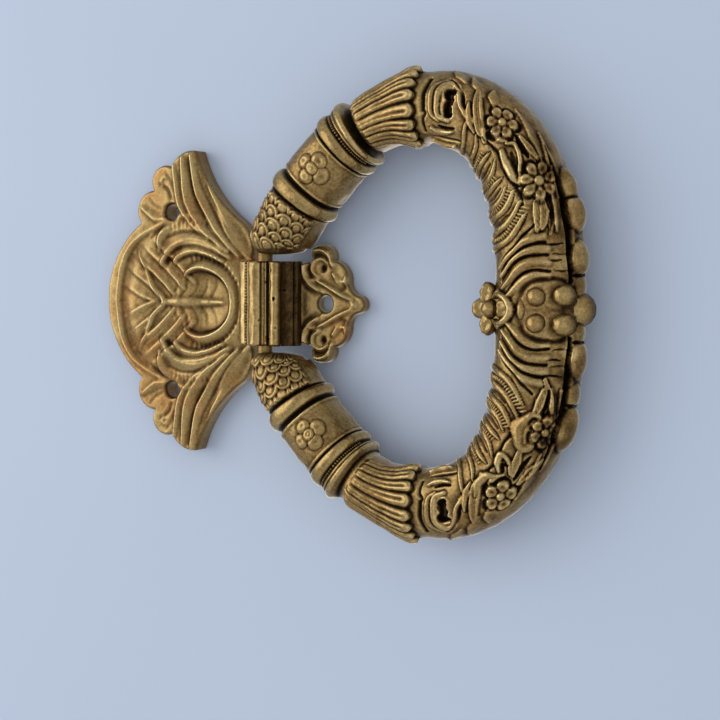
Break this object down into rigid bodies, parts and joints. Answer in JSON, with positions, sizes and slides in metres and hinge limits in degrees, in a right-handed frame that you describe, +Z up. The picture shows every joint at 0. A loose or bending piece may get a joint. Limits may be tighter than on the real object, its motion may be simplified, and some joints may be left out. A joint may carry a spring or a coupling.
{
  "type": "door knocker",
  "caption": "Cast brass door knocker: an oval ornamental drop ring hinged on a moulded knuckle in front of a pierced scallop-shell back plate",
  "frame": {"origin": "the hinge axis projected on the back face, in the middle of the width; the back lies on Y = 0 against the door", "axes": "+X to the right across the door, +Y into the door, +Z up; the ring hangs towards -Z and the front faces -Y"},
  "size_m": [0.08, 0.0122, 0.0969],
  "materials": {
    "patinated_brass": "cast, gilt on the high points and brown in the hollows",
    "rubbed_brass": "rubbed bright along the mouldings",
    "pin_brass": "dull turned brass"
  },
  "bodies": {
    "plate": {"shell_plate": "patinated_brass", "hinge_knuckle": "rubbed_brass"},
    "ring": {"drop_ring": "patinated_brass", "left_pivot_pin": "pin_brass", "right_pivot_pin": "pin_brass"}
  },
  "joints": [
    {"name": "ring_swing", "type": "hinge", "parent": "plate", "child": "ring", "pos_m": [0, -0.0056, 0], "axis": [-1, 0, 0], "range_deg": [0, 130]}
  ]
}
